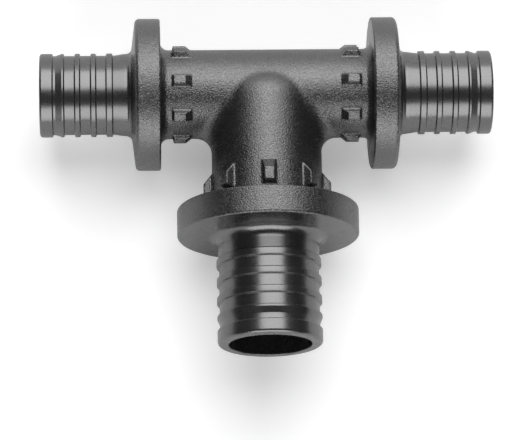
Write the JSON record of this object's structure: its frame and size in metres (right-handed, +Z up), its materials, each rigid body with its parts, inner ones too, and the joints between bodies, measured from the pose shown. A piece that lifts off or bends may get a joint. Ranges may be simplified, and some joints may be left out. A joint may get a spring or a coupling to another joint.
{
  "type": "pipe tee",
  "caption": "Black moulded tee that joins two small plastic pipes in line with a larger branch pipe on ribbed spigots.",
  "frame": {"origin": "where the run axis and the branch axis cross", "axes": "+X along the run, -Y along the branch towards its mouth, +Z up as it lies with all three axes level"},
  "size_m": [0.078, 0.058, 0.0312],
  "materials": {
    "moulded_black": "spark-eroded grain on the body and collars, semi-gloss on the spigots"
  },
  "bodies": {
    "root": {"tee_body": "moulded_black"}
  },
  "joints": []
}
